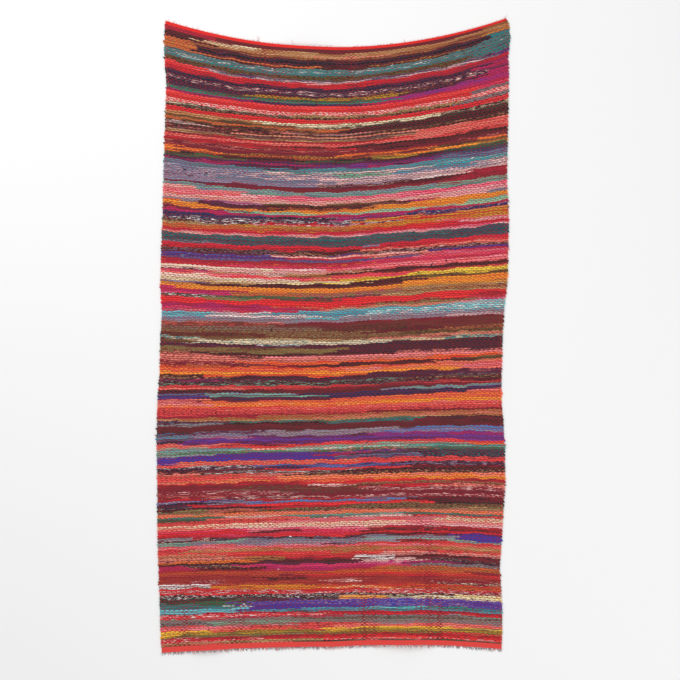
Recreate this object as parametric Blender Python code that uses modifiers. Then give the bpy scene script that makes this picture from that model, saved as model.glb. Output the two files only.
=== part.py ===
"""Chindi rag rug, one plain-woven piece with its pull and bow kept: the rag body, a yarn heading at each end
and a comb of cut warp ends beyond each heading.

Metres, +Z up. +Y points from the straight end to the sagging end. The underside rests on z = 0, and the
origin is under the middle of the rug's box."""

import math
import random
from collections import namedtuple

import bmesh
import bpy
import numpy as np

MM = 0.001
NAME = "rag_rug"

# Where the sagging end's outer edge crosses the rug's middle, measured from the origin.
END_MIDDLE_X = 0.9 * MM
END_MIDDLE_Y = 742.1 * MM

# Distances down the middle of the rug, from the sagging end's outer edge.
HEADING_TOP_DEEP = 7.5 * MM
HEADING_FOOT_START = 1521.0 * MM
HEADING_FOOT_DEEP = 13.0 * MM
FRINGE_SPINE = 2.0 * MM

RAG_THICK = 5.0 * MM
HEADING_THICK = 3.2 * MM
FRINGE_THICK = 1.6 * MM
JOIN_GAP = 0.4 * MM

BODY_CELLS_ACROSS, BODY_CELLS_DOWN = 28, 40
TEETH = 64
TOOTH_TAPER = 0.45

# How the rug lies, in millimetres. down is measured along the middle; left and right are the selvedges;
# left_lift and right_lift are how far a pick's ends stand towards +Y of its middle, and crest is the extra
# rise of the pick halfway to the right selvedge.
LayRow = namedtuple("LayRow", "down left right left_lift right_lift crest")
LAY = (
    LayRow(0, -430, 442, 68, 74, 0),
    LayRow(30, -431, 448, 65, 84, 3),
    LayRow(70, -431, 450, 60, 88, 6),
    LayRow(104, -430, 445, 56, 80, 6),
    LayRow(142, -426, 447, 48, 78, 5),
    LayRow(280, -431, 444, 29, 49, 7),
    LayRow(378, -434, 442, 25, 48, 4),
    LayRow(485, -437, 447, 16, 35, 8),
    LayRow(626, -442, 444, 15, 31, 9),
    LayRow(685, -437, 436, 5, 25, 7),
    LayRow(754, -442, 431, 10, 17, 4),
    LayRow(828, -443, 429, 1, 18, 6),
    LayRow(910, -449, 428, -3, 16, 7),
    LayRow(1015, -451, 436, -11, 6, 8),
    LayRow(1102, -449, 438, -10, 6, 6),
    LayRow(1222, -449, 431, -14, -4, 6),
    LayRow(1327, -446, 424, -7, -7, 5),
    LayRow(1420, -443, 430, -7, -8, 4),
    LayRow(1534, -439, 430, -16, -6, 7),
)

# Low soft folds, in millimetres: each is highest at its foot and dies out at its head.
FoldRow = namedtuple("FoldRow", "name foot_x foot_y head_x head_y half_width rise")
FOLDS = (
    FoldRow("right_of_middle", 186, -830, 120, -250, 105, 10),
    FoldRow("left_corner", -330, -830, -240, -430, 80, 7),
    FoldRow("under_the_sag", -70, 790, -10, 330, 120, 8),
)

# The longest frayed warp ends past the sagging edge: share of the width, length in millimetres.
FrayRow = namedtuple("FrayRow", "across length")
LONG_FRAYS = (
    FrayRow(0.02, 12),
    FrayRow(0.15, 9),
    FrayRow(0.27, 18),
    FrayRow(0.37, 15),
    FrayRow(0.45, 9),
    FrayRow(0.70, 10),
)
SHORT_FRAY = (1.5 * MM, 4.0 * MM)
FOOT_FRAY = (6.0 * MM, 11.0 * MM)

COLOURS = {
    "rag_body": (0.42, 0.12, 0.10),
    "heading_top": (0.75, 0.05, 0.05),
    "heading_foot": (0.85, 0.14, 0.10),
    "fringe_top": (0.70, 0.16, 0.12),
    "fringe_foot": (0.55, 0.32, 0.30),
}


def clear_scene():
    for old in list(bpy.data.objects):
        bpy.data.objects.remove(old, do_unlink=True)


def read_lay(column, down):
    """One column of LAY, in metres, at a distance down the rug."""
    downs = [row.down for row in LAY]
    return np.interp(down / MM, downs, [getattr(row, column) for row in LAY]) * MM


def fold_height(x, y):
    """How far the folds lift the cloth off the floor at a place."""
    height = 0.0
    for fold in FOLDS:
        foot = np.array((fold.foot_x, fold.foot_y)) * MM
        run = np.array((fold.head_x, fold.head_y)) * MM - foot
        length = np.linalg.norm(run)
        offset = np.array((x, y)) - foot
        along = np.dot(offset, run) / length**2
        aside = abs(offset[0] * run[1] - offset[1] * run[0]) / length / (fold.half_width * MM)
        if aside < 1 and along < 1:
            fade = math.cos(0.5 * math.pi * max(along, 0)) ** 2
            height += fold.rise * MM * fade * math.cos(0.5 * math.pi * aside) ** 2
    return height


def lay(across, down):
    """Where a point of the weave lies: across is its share of the width, down its distance along the rug."""
    left, right = read_lay("left", down), read_lay("right", down)
    x = END_MIDDLE_X + left + across * (right - left)
    from_middle = 2 * across - 1
    if from_middle < 0:
        lift = read_lay("left_lift", down) * from_middle**2
    else:
        lift = read_lay("right_lift", down) * from_middle**2
        lift += read_lay("crest", down) * math.sin(math.pi * from_middle)
    y = END_MIDDLE_Y - down + lift
    return x, y, fold_height(x, y)


def weave_grid(cells_across, cells_down, start, end):
    """A grid in weave coordinates: x is the share of the width, y the distance down, negated."""
    grid = bmesh.new()
    bmesh.ops.create_grid(grid, x_segments=cells_across, y_segments=cells_down, size=0.5)
    for corner in grid.verts:
        corner.co.x += 0.5
        corner.co.y = -start - (0.5 - corner.co.y) * (end - start)
    return grid


def add_teeth(grid, edge_y, direction, lengths):
    """Draws every second cell's outer edge out into a tapered tooth."""
    outer = [
        edge
        for edge in grid.edges
        if edge.is_boundary and all(abs(v.co.y - edge_y) < 1e-7 for v in edge.verts)
    ]
    outer.sort(key=lambda edge: edge.verts[0].co.x + edge.verts[1].co.x)
    for edge, length in zip(outer[1::2], lengths):
        drawn = bmesh.ops.extrude_edge_only(grid, edges=[edge])["geom"]
        tip = [v for v in drawn if isinstance(v, bmesh.types.BMVert)]
        middle = sum(v.co.x for v in tip) / len(tip)
        for v in tip:
            v.co.x = middle + (v.co.x - middle) * TOOTH_TAPER
            v.co.y += direction * length


def finish_piece(name, grid, thickness, collection):
    """Lays the grid out as the underside, and gives it its thickness upwards."""
    for corner in grid.verts:
        corner.co = lay(corner.co.x, -corner.co.y)
    bmesh.ops.recalc_face_normals(grid, faces=grid.faces)
    if sum(face.normal.z for face in grid.faces) < 0:
        bmesh.ops.reverse_faces(grid, faces=grid.faces)
    mesh = bpy.data.meshes.new(name)
    grid.to_mesh(mesh)
    grid.free()
    piece = bpy.data.objects.new(name, mesh)
    collection.objects.link(piece)
    solidify = piece.modifiers.new("thickness", "SOLIDIFY")
    solidify.thickness = thickness
    solidify.offset = 1
    material = bpy.data.materials.new(name)
    material.use_nodes = True
    shader = material.node_tree.nodes["Principled BSDF"]
    shader.inputs["Base Color"].default_value = (*COLOURS[name], 1)
    shader.inputs["Roughness"].default_value = 0.9
    shader.inputs["Metallic"].default_value = 0.0
    mesh.materials.append(material)
    return piece


def make_body(collection):
    start = HEADING_TOP_DEEP + JOIN_GAP
    grid = weave_grid(BODY_CELLS_ACROSS, BODY_CELLS_DOWN, start, HEADING_FOOT_START - JOIN_GAP)
    finish_piece("rag_body", grid, RAG_THICK, collection)


def make_headings(collection):
    top = weave_grid(BODY_CELLS_ACROSS, 1, 0, HEADING_TOP_DEEP)
    finish_piece("heading_top", top, HEADING_THICK, collection)
    foot_end = HEADING_FOOT_START + HEADING_FOOT_DEEP
    foot = weave_grid(BODY_CELLS_ACROSS, 1, HEADING_FOOT_START, foot_end)
    finish_piece("heading_foot", foot, HEADING_THICK, collection)


def make_fringes(collection):
    draw = random.Random(7)
    lengths = [draw.uniform(*SHORT_FRAY) for _ in range(TEETH)]
    for fray in LONG_FRAYS:
        lengths[int(fray.across * TEETH)] = fray.length * MM
    top = weave_grid(2 * TEETH + 1, 1, -JOIN_GAP - FRINGE_SPINE, -JOIN_GAP)
    add_teeth(top, JOIN_GAP + FRINGE_SPINE, 1, lengths)
    finish_piece("fringe_top", top, FRINGE_THICK, collection)

    start = HEADING_FOOT_START + HEADING_FOOT_DEEP + JOIN_GAP
    foot = weave_grid(2 * TEETH + 1, 1, start, start + FRINGE_SPINE)
    lengths = [draw.uniform(*FOOT_FRAY) for _ in range(TEETH)]
    add_teeth(foot, -start - FRINGE_SPINE, -1, lengths)
    finish_piece("fringe_foot", foot, FRINGE_THICK, collection)


def main():
    clear_scene()
    collection = bpy.data.collections.new(NAME)
    bpy.context.scene.collection.children.link(collection)
    make_body(collection)
    make_headings(collection)
    make_fringes(collection)


main()
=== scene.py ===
"""The looks of a chindi rag rug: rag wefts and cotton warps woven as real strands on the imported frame, with
yarn headings, frayed warp ends, selvedge turns and loose rag tufts."""

import math
from collections import namedtuple

import bmesh
import bpy
import numpy as np
from mathutils import Matrix


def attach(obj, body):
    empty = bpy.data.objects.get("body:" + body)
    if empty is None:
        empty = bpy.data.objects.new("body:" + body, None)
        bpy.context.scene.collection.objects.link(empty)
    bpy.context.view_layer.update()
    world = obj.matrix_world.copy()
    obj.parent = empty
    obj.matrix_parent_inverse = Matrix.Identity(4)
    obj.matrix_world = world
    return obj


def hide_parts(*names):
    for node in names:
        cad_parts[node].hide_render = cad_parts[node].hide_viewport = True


MM = 0.001

# ---------------------------------------------------------------- sizes

END_MIDDLE_X = 0.9 * MM  # where the sagging end's outer edge crosses the rug's middle
END_MIDDLE_Y = 742.1 * MM
HEADING_TOP_DEEP = 7.8 * MM
HEADING_FOOT_START = 1520.8 * MM
HEADING_FOOT_DEEP = 13.2 * MM
FLAT_WIDTH, FLAT_LENGTH = 0.88, 1.56

PICKS = 384
WARPS = 144
WEFT_PIECES = 4
WARP_PIECES = 2
WEFT_SIDES, WARP_SIDES, THREAD_SIDES = 5, 3, 3
GROUND_COLUMNS, GROUND_ROWS = 36, 56

WEAVE_MIDDLE = 2.05 * MM  # height of the weave's mid plane over the underside
WEFT_HALF_THICK = 1.2 * MM
WEFT_SPREAD = 1.08  # neighbouring rags press into each other
WEFT_WAVE = 0.36 * MM
WEFT_PINCH = 0.14
WARP_RADIUS = 0.34 * MM
WARP_WAVE = 0.55 * MM
HEADING_YARN = 1.9 * MM
SELVEDGE_WARPS = (0.8 * MM, 2.6 * MM, 4.6 * MM, 9.5 * MM)  # how far they lie inside each selvedge
SELVEDGE_RADIUS = 0.5 * MM
SELVEDGE_WAVE = 1.0 * MM
TURN_TUBE = 0.62  # thickness of a rag's turn for a turn of radius 1
TURN_REACH = 2.0 * MM
RAG_FOLD = 1.5 * MM  # width of one fold of a rag across its strand

PICK_UNEVEN = 0.26  # how thick and thin the rags are, as the spread of the log of their width
SWELL_LONG, SWELL_SHORT = 0.30, 0.16  # how much one rag swells and thins along its run
EVEN_PICKS = 5  # picks next to each heading over which the lines straighten
WEFT_END_REACH = 2.0 * MM
WEFT_LEAST_FULL, WEFT_WIDTH_FULL = 0.8, 0.2  # a rag's thickness: its fixed part and what its width adds
WEFT_LUMPS = 0.15
WARP_UNEVEN = 0.25
TURN_SIDES, TURN_STEPS = 6, 5
TURN_UNEVEN = 0.35
TURN_TUCK = 0.4 * MM  # how far each turn starts inside the selvedge
GROUND_SHARE = 0.996  # of the rug's width
GROUND_THICK = 1.0 * MM

HEADING_SIDES = 6
HEADING_SPREAD = 0.54  # a yarn's half width for a pitch of 1
HEADING_MIDDLE = 1.75 * MM
HEADING_WAVE = 0.2 * MM
HEADING_HALF_THICK = 1.3 * MM

THREAD_STEPS = 5
THREAD_TAPER = 0.45
THREAD_HEIGHT, THREAD_DROP = 1.7 * MM, 0.8 * MM
THREAD_TONE = 0.15  # spread of the threads' lightness
BUNDLE_SCATTER = 0.22  # of the room that one bundle has
BUNDLE_LEAN, THREAD_LEAN, THREAD_CURL = 0.25, 0.3, 0.4
BUNDLE_SHORTEST = 0.75
END_TUCK = 0.5 * MM  # how far the frays start inside the top heading
FRAY_RADIUS, FRINGE_RADIUS = 0.42 * MM, 0.62 * MM
FRAY_BUNDLES, FRINGE_BUNDLES = 110, 144

TUFT_SIDES, TUFT_STEPS = 5, 6
TUFT_RADIUS = 1.5 * MM
TUFT_BURIED = 0.4  # share of a tuft that lies behind its place
TUFT_ARCH, TUFT_TURN_OVER = 2.6 * MM, 0.62
TUFT_FLATNESS = 0.7

STRIPE_WANDER = 0.4  # of a pick
JOIN_SCATTER = 0.022  # of the width
SIDE_SHARE = 0.6
DYE_UNEVEN = 0.07
FOLD_STEP = 7.31  # sets each rag's print apart from its neighbours'
END_PRINT_STEP = 3.7  # the same for threads and tufts
END_PRINT_SHARE = 0.4

# How the rug lies, in millimetres. down is measured along the middle; left and right are the selvedges;
# left_lift and right_lift are how far a pick's ends stand towards +Y of its middle, and crest is the extra
# rise of the pick halfway to the right selvedge.
LayRow = namedtuple("LayRow", "down left right left_lift right_lift crest")
LAY = (
    LayRow(0, -430, 442, 68, 74, 0),
    LayRow(30, -431, 448, 65, 84, 3),
    LayRow(70, -431, 450, 60, 88, 6),
    LayRow(104, -430, 445, 56, 80, 6),
    LayRow(142, -426, 447, 48, 78, 5),
    LayRow(280, -431, 444, 29, 49, 7),
    LayRow(378, -434, 442, 25, 48, 4),
    LayRow(485, -437, 447, 16, 35, 8),
    LayRow(626, -442, 444, 15, 31, 9),
    LayRow(685, -437, 436, 5, 25, 7),
    LayRow(754, -442, 431, 10, 17, 4),
    LayRow(828, -443, 429, 1, 18, 6),
    LayRow(910, -449, 428, -3, 16, 7),
    LayRow(1015, -451, 436, -11, 6, 8),
    LayRow(1102, -449, 438, -10, 6, 6),
    LayRow(1222, -449, 431, -14, -4, 6),
    LayRow(1327, -446, 424, -7, -7, 5),
    LayRow(1420, -443, 430, -7, -8, 4),
    LayRow(1534, -439, 430, -16, -6, 7),
)

# Low soft folds, in millimetres: each is highest at its foot and dies out at its head.
FoldRow = namedtuple("FoldRow", "name foot_x foot_y head_x head_y half_width rise")
FOLDS = (
    FoldRow("right_of_middle", 186, -830, 120, -250, 105, 10),
    FoldRow("left_corner", -330, -830, -240, -430, 80, 7),
    FoldRow("under_the_sag", -70, 790, -10, 330, 120, 8),
)

# ---------------------------------------------------------------- dyes, rags and the order of stripes

DYES = {
    "black": (20, 16, 20),
    "ink": (26, 26, 54),
    "navy": (38, 42, 92),
    "plum": (72, 34, 70),
    "maroon": (104, 26, 38),
    "wine": (140, 24, 40),
    "crimson": (190, 28, 56),
    "red": (222, 30, 42),
    "scarlet": (242, 46, 40),
    "coral": (240, 78, 72),
    "salmon": (240, 130, 112),
    "pink": (242, 138, 150),
    "blush": (246, 198, 190),
    "hot_pink": (238, 62, 104),
    "magenta": (188, 30, 108),
    "purple": (112, 48, 140),
    "indigo": (64, 44, 138),
    "royal": (50, 48, 164),
    "blue": (78, 120, 190),
    "slate": (104, 124, 152),
    "lavender": (156, 144, 166),
    "grey": (134, 130, 132),
    "taupe": (128, 118, 100),
    "seafoam": (118, 182, 158),
    "teal": (22, 130, 130),
    "deep_teal": (28, 84, 90),
    "turquoise": (56, 160, 178),
    "aqua": (112, 200, 206),
    "green": (26, 112, 74),
    "bottle": (30, 66, 50),
    "olive": (104, 100, 44),
    "khaki": (140, 126, 76),
    "mint": (160, 200, 150),
    "mustard": (206, 158, 34),
    "yellow": (246, 208, 62),
    "gold": (250, 164, 38),
    "orange": (250, 126, 44),
    "burnt": (222, 98, 36),
    "rust": (178, 58, 38),
    "brown": (104, 54, 36),
    "bark": (58, 32, 28),
    "caramel": (178, 116, 60),
    "tan": (202, 158, 108),
    "cream": (242, 226, 186),
    "white": (248, 242, 238),
}

# How a rag's print shows: the share of the rag that it covers and the length of its marks in mm.
Print = namedtuple("Print", "share dash")
PRINTS = {
    "lines": Print(0.5, 80),
    "streaks": Print(0.32, 42),
    "dashes": Print(0.34, 19),
    "flecks": Print(0.32, 9),
    "dots": Print(0.42, 5),
    "mottled": Print(0.5, 8),
    "few": Print(0.12, 14),
}

# Each stripe: where it starts down the middle, in millimetres, then its rags from left to right, with the
# share of the width where each gives way to the next. A rag is its ground dye, its print's dye and how the
# print shows.
STRIPES = (
    (7, "crimson wine streaks", 0.12, "maroon brown streaks", 0.9, "caramel brown lines"),
    (17, "black bark lines", 0.1, "tan cream lines", 0.25, "caramel tan lines"),
    (26, "black bark lines", 0.12, "caramel tan lines", 0.4, "tan salmon lines", 0.62,
     "caramel brown lines"),
    (31, "burnt caramel mottled", 0.1, "caramel brown lines", 0.95, "burnt mustard lines"),
    (38, "caramel burnt mottled", 0.08, "black plum streaks", 0.93, "teal deep_teal streaks"),
    (51, "caramel burnt mottled", 0.48, "black brown streaks", 0.62, "brown mustard flecks", 0.9,
     "teal black flecks"),
    (56, "teal deep_teal lines", 0.16, "black bark lines", 0.87, "teal black flecks"),
    (60, "teal white few"),
    (67, "teal white streaks", 0.85, "teal black flecks"),
    (72, "teal deep_teal streaks"),
    (79, "olive black mottled", 0.87, "teal black flecks"),
    (88, "scarlet coral lines", 0.05, "grey navy lines", 0.95, "purple navy lines"),
    (92, "scarlet coral lines", 0.1, "blush navy lines", 0.9, "crimson purple lines"),
    (95, "scarlet red lines", 0.43, "blush red lines", 0.5, "red wine streaks"),
    (98, "red wine streaks", 0.85, "crimson wine streaks"),
    (103, "red wine streaks", 0.6, "crimson wine streaks", 0.9, "magenta plum lines"),
    (108, "ink plum streaks", 0.94, "magenta crimson lines"),
    (116, "ink blush dashes", 0.92, "magenta plum lines"),
    (124, "ink black streaks", 0.5, "ink caramel dashes", 0.92, "crimson magenta lines"),
    (131, "ink plum streaks", 0.25, "mustard black dots", 0.7, "ink caramel few", 0.93,
     "crimson magenta lines"),
    (137, "deep_teal green lines", 0.2, "green bottle lines", 0.66, "magenta purple lines"),
    (142, "green teal lines", 0.64, "magenta purple lines"),
    (146, "magenta plum lines", 0.28, "navy ink lines", 0.6, "magenta crimson lines"),
    (152, "scarlet coral lines", 0.9, "crimson hot_pink lines"),
    (161, "scarlet red streaks", 0.9, "grey black flecks"),
    (170, "scarlet blush mottled"),
    (179, "bottle cream streaks", 0.4, "olive tan mottled", 0.9, "grey black flecks"),
    (184, "black tan flecks", 0.88, "grey black flecks"),
    (189, "red scarlet lines", 0.97, "coral red lines"),
    (197, "tan caramel lines", 0.3, "cream olive dashes", 0.85, "black cream dashes"),
    (203, "black olive lines", 0.4, "bottle cream dashes", 0.6, "bottle black lines"),
    (208, "caramel burnt lines", 0.55, "black bark lines"),
    (214, "black olive streaks", 0.3, "black caramel dashes", 0.5, "black bark streaks"),
    (220, "blush grey lines", 0.1, "black salmon dashes", 0.3, "salmon grey lines", 0.57,
     "black tan dashes"),
    (224, "black olive flecks"),
    (229, "black salmon dashes", 0.2, "salmon tan lines", 0.75, "coral salmon lines"),
    (233, "bark grey flecks", 0.7, "coral salmon lines"),
    (238, "brown tan lines", 0.7, "coral salmon lines"),
    (243, "red maroon lines", 0.7, "coral salmon lines"),
    (248, "coral salmon lines", 0.8, "coral black dashes"),
    (255, "red wine lines", 0.3, "bark red dashes", 0.5, "black bark lines"),
    (261, "red brown lines", 0.35, "red bark dashes", 0.55, "bark maroon lines"),
    (266, "maroon salmon streaks", 0.6, "black maroon lines", 0.85, "maroon salmon streaks"),
    (272, "wine maroon lines", 0.9, "orange burnt lines"),
    (276, "orange burnt lines", 0.06, "maroon brown streaks", 0.53, "orange burnt lines", 0.8,
     "bark olive lines"),
    (282, "orange burnt lines", 0.18, "maroon mustard dots", 0.55, "bark maroon lines", 0.8,
     "orange gold lines"),
    (286, "orange gold lines", 0.06, "brown burnt dots", 0.68, "orange gold lines", 0.9,
     "green olive lines"),
    (290, "orange bark lines", 0.06, "bark black lines", 0.62, "olive mustard lines", 0.8,
     "green bottle lines"),
    (294, "green bottle lines", 0.1, "olive green lines", 0.26, "bark plum lines", 0.4,
     "green bottle lines", 0.6, "black ink lines", 0.9, "navy deep_teal lines"),
    (298, "green bottle lines", 0.12, "plum navy lines", 0.5, "ink plum lines", 0.8,
     "navy deep_teal lines"),
    (303, "navy ink lines", 0.1, "magenta maroon lines", 0.45, "plum purple lines", 0.8,
     "navy slate lines"),
    (308, "plum magenta lines", 0.2, "ink plum lines", 0.4, "purple plum lines", 0.6, "magenta ink lines",
     0.8, "navy slate lines"),
    (313, "slate teal lines", 0.2, "ink turquoise lines", 0.4, "teal turquoise lines", 0.92,
     "slate ink dashes"),
    (318, "slate teal lines", 0.25, "teal turquoise lines", 0.8, "turquoise aqua lines"),
    (323, "slate lavender lines", 0.3, "teal blush lines", 0.5, "blush teal lines", 0.8,
     "teal turquoise lines"),
    (328, "slate blush streaks", 0.5, "seafoam green dashes", 0.65, "turquoise slate lines", 0.9,
     "blush slate lines"),
    (334, "lavender navy dashes", 0.07, "slate blush streaks", 0.3, "blush lavender lines", 0.8,
     "blush slate lines"),
    (340, "lavender ink dashes", 0.15, "slate teal streaks", 0.5, "blush grey lines"),
    (346, "slate lavender lines", 0.4, "lavender blush streaks", 0.7, "white blush lines", 0.85,
     "crimson wine lines"),
    (352, "lavender slate lines", 0.43, "black blush streaks", 0.7, "black bark lines", 0.9,
     "wine crimson lines"),
    (357, "wine plum lines", 0.3, "maroon plum lines", 0.55, "black wine lines", 0.85,
     "crimson wine lines"),
    (362, "seafoam slate lines", 0.12, "wine maroon lines", 0.85, "crimson wine lines"),
    (367, "seafoam slate lines", 0.2, "wine maroon lines", 0.6, "wine blush few"),
    (371, "salmon blush lines", 0.1, "seafoam slate lines", 0.8, "seafoam wine lines"),
    (378, "salmon pink lines", 0.25, "seafoam teal lines"),
    (385, "pink coral lines", 0.2, "pink blush lines", 0.3, "hot_pink pink lines"),
    (395, "blush salmon lines", 0.8, "blush pink lines"),
    (404, "lavender grey lines", 0.1, "magenta lavender lines", 0.28, "black olive lines", 0.7,
     "plum magenta lines", 0.8, "blush pink lines", 0.93, "grey slate lines"),
    (409, "orange burnt lines", 0.05, "grey lavender lines", 0.1, "plum black lines", 0.3,
     "black bark lines", 0.6, "caramel plum lines", 0.72, "orange gold lines"),
    (415, "orange gold lines", 0.12, "bark plum lines", 0.28, "black orange dashes", 0.6,
     "orange gold lines"),
    (420, "plum orange lines", 0.04, "orange gold lines", 0.9, "mint seafoam lines"),
    (427, "maroon plum lines", 0.2, "black seafoam lines", 0.28, "mint seafoam lines"),
    (432, "crimson magenta lines"),
    (437, "navy ink streaks", 0.3, "ink white few", 0.5, "navy magenta lines", 0.7, "navy white few"),
    (443, "ink white dashes", 0.6, "red mustard lines"),
    (448, "bark white dashes", 0.3, "red black dashes", 0.5, "navy white dashes", 0.7, "burnt red lines"),
    (453, "olive black mottled", 0.1, "ink white dashes", 0.25, "red white dashes", 0.6,
     "mustard burnt lines"),
    (458, "khaki tan mottled", 0.15, "caramel mustard lines", 0.55, "burnt mustard lines"),
    (463, "caramel burnt lines", 0.55, "mustard red lines", 0.8, "pink coral lines"),
    (468, "burnt caramel dashes", 0.3, "rust mustard dashes", 0.6, "red scarlet lines", 0.85,
     "pink blush lines"),
    (474, "red crimson lines", 0.7, "crimson red lines"),
    (481, "coral pink lines", 0.3, "hot_pink pink lines"),
    (486, "blush salmon lines", 0.5, "blush pink lines"),
    (490, "deep_teal teal flecks", 0.85, "deep_teal navy flecks"),
    (499, "deep_teal ink flecks", 0.5, "deep_teal green flecks", 0.7, "deep_teal ink flecks"),
    (506, "deep_teal lavender flecks", 0.2, "deep_teal ink flecks"),
    (511, "red crimson lines", 0.55, "slate red dashes", 0.6, "red crimson lines"),
    (516, "red black dashes", 0.8, "red coral lines"),
    (521, "black grey flecks", 0.4, "bark black lines", 0.55, "salmon red dashes"),
    (526, "black lavender flecks", 0.3, "black tan dashes", 0.6, "bark blush dashes"),
    (531, "plum black flecks", 0.3, "black blush dashes", 0.5, "indigo ink flecks", 0.6,
     "black blush dashes"),
    (535, "indigo slate flecks", 0.3, "salmon blush lines", 0.75, "indigo ink flecks"),
    (539, "indigo ink flecks", 0.35, "crimson red lines", 0.6, "salmon black dashes", 0.8,
     "crimson hot_pink lines"),
    (543, "indigo slate mottled", 0.75, "hot_pink pink lines"),
    (550, "crimson wine lines", 0.6, "crimson hot_pink lines", 0.75, "hot_pink coral lines"),
    (556, "crimson orange few", 0.3, "crimson orange dashes", 0.6, "crimson hot_pink lines"),
    (562, "crimson red lines", 0.2, "hot_pink crimson lines", 0.6, "coral pink lines"),
    (568, "blush cream lines", 0.35, "blush pink lines", 0.5, "pink coral lines"),
    (573, "black blush flecks", 0.12, "blush salmon lines", 0.5, "caramel blush dashes", 0.6,
     "bark black lines"),
    (578, "magenta coral lines", 0.14, "tan black flecks", 0.25, "blush black dots", 0.36,
     "caramel tan lines", 0.48, "black bark lines"),
    (584, "coral pink lines", 0.25, "blush tan lines", 0.36, "caramel brown lines", 0.5,
     "coral black dashes"),
    (589, "cream blush lines", 0.15, "hot_pink coral lines", 0.75, "yellow bottle few"),
    (594, "cream blush lines", 0.4, "coral tan lines", 0.52, "yellow mustard lines", 0.7,
     "yellow olive dashes"),
    (600, "cream tan lines", 0.42, "yellow cream lines", 0.6, "black bark lines", 0.75, "bark olive lines"),
    (606, "lavender plum lines", 0.12, "khaki tan lines", 0.25, "bark black lines", 0.75,
     "gold orange lines"),
    (612, "gold caramel lines", 0.1, "bark black lines", 0.5, "black brown lines", 0.7,
     "gold orange lines"),
    (618, "gold orange lines"),
    (624, "magenta hot_pink lines", 0.06, "gold orange lines", 0.7, "gold caramel lines"),
    (630, "magenta crimson lines", 0.25, "orange gold lines", 0.36, "caramel magenta dashes", 0.7,
     "tan khaki lines"),
    (636, "magenta hot_pink lines", 0.2, "caramel red dashes", 0.4, "khaki magenta dashes", 0.7,
     "caramel ink dashes"),
    (642, "bottle white dashes", 0.12, "green bottle dashes", 0.4, "bottle magenta dashes", 0.6,
     "khaki tan lines"),
    (648, "red coral lines", 0.1, "khaki green dashes", 0.3, "bottle red dashes", 0.5, "scarlet red lines"),
    (653, "red scarlet lines", 0.9, "red wine lines"),
    (661, "magenta crimson lines", 0.3, "scarlet red lines", 0.6, "wine khaki dashes", 0.9,
     "magenta coral lines"),
    (666, "magenta wine lines", 0.3, "red tan dashes", 0.6, "khaki wine dashes", 0.9, "magenta pink lines"),
    (671, "magenta hot_pink lines", 0.25, "crimson magenta lines", 0.5, "salmon tan lines", 0.9,
     "aqua blush lines"),
    (676, "salmon magenta lines", 0.2, "hot_pink crimson lines", 0.4, "turquoise aqua lines", 0.85,
     "aqua blush dashes"),
    (682, "turquoise aqua lines", 0.14, "turquoise blush lines", 0.32, "turquoise black few", 0.6,
     "aqua white dashes"),
    (688, "turquoise aqua lines", 0.12, "blush white lines", 0.36, "white black dots", 0.46,
     "turquoise blush dashes"),
    (693, "lavender slate lines", 0.12, "grey lavender lines", 0.4, "aqua turquoise lines", 0.5,
     "lavender grey lines"),
    (699, "grey lavender lines", 0.85, "lavender blush lines"),
    (706, "brown salmon lines", 0.35, "wine maroon lines", 0.85, "maroon brown lines"),
    (711, "brown coral dashes", 0.3, "brown maroon lines"),
    (716, "brown taupe mottled", 0.45, "brown bark mottled", 0.7, "maroon brown lines"),
    (724, "brown khaki mottled", 0.6, "bark maroon mottled", 0.8, "maroon caramel mottled"),
    (732, "bark brown mottled", 0.3, "brown khaki mottled", 0.7, "olive bark mottled"),
    (740, "teal cream dashes", 0.06, "olive brown mottled", 0.5, "khaki brown mottled", 0.8,
     "tan salmon mottled"),
    (746, "teal cream dashes", 0.1, "bark khaki mottled", 0.2, "khaki tan lines", 0.6,
     "salmon brown lines"),
    (750, "bark tan dashes", 0.08, "cream teal dashes", 0.62, "cream tan lines", 0.8, "teal cream dashes"),
    (755, "olive bark mottled", 0.08, "cream teal dashes", 0.65, "ink bark lines"),
    (760, "plum black lines", 0.3, "deep_teal white dashes", 0.42, "plum black lines", 0.6,
     "bark ink lines"),
    (765, "bark plum lines", 0.3, "plum bark lines", 0.5, "bark ink lines"),
    (770, "khaki olive mottled", 0.2, "bark olive mottled", 0.3, "khaki olive mottled", 0.52,
     "ink bark mottled"),
    (779, "brown khaki mottled", 0.2, "olive khaki mottled", 0.5, "ink bark mottled", 0.9,
     "bark ink mottled"),
    (786, "salmon brown mottled", 0.1, "bark black mottled", 0.4, "black bark mottled", 0.7,
     "salmon ink mottled"),
    (791, "salmon bark flecks", 0.2, "bark salmon flecks", 0.3, "salmon pink mottled"),
    (797, "salmon bark flecks", 0.8, "scarlet orange lines"),
    (803, "wine salmon dashes", 0.22, "scarlet orange lines", 0.85, "bark olive lines"),
    (808, "maroon salmon dashes", 0.3, "scarlet orange lines", 0.5, "bark black lines", 0.9,
     "olive bark lines"),
    (813, "orange wine lines", 0.2, "wine bark dashes", 0.4, "bark black lines", 0.8,
     "salmon orange lines"),
    (818, "orange scarlet lines", 0.5, "orange coral lines", 0.85, "coral salmon lines"),
    (824, "orange coral lines", 0.55, "pink orange lines", 0.66, "orange salmon lines", 0.9,
     "coral pink lines"),
    (830, "orange gold lines", 0.9, "salmon coral lines"),
    (836, "black olive dashes", 0.12, "scarlet orange lines", 0.6, "black plum lines", 0.9,
     "plum salmon dashes"),
    (841, "black tan dashes", 0.2, "ink black lines", 0.5, "plum black lines"),
    (847, "plum magenta streaks", 0.2, "plum black lines", 0.8, "ink grey dashes"),
    (853, "black grey flecks", 0.3, "black seafoam dashes", 0.7, "black tan flecks"),
    (859, "black seafoam dashes", 0.5, "black grey flecks", 0.8, "maroon black lines"),
    (865, "coral red lines", 0.55, "maroon coral lines"),
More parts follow.
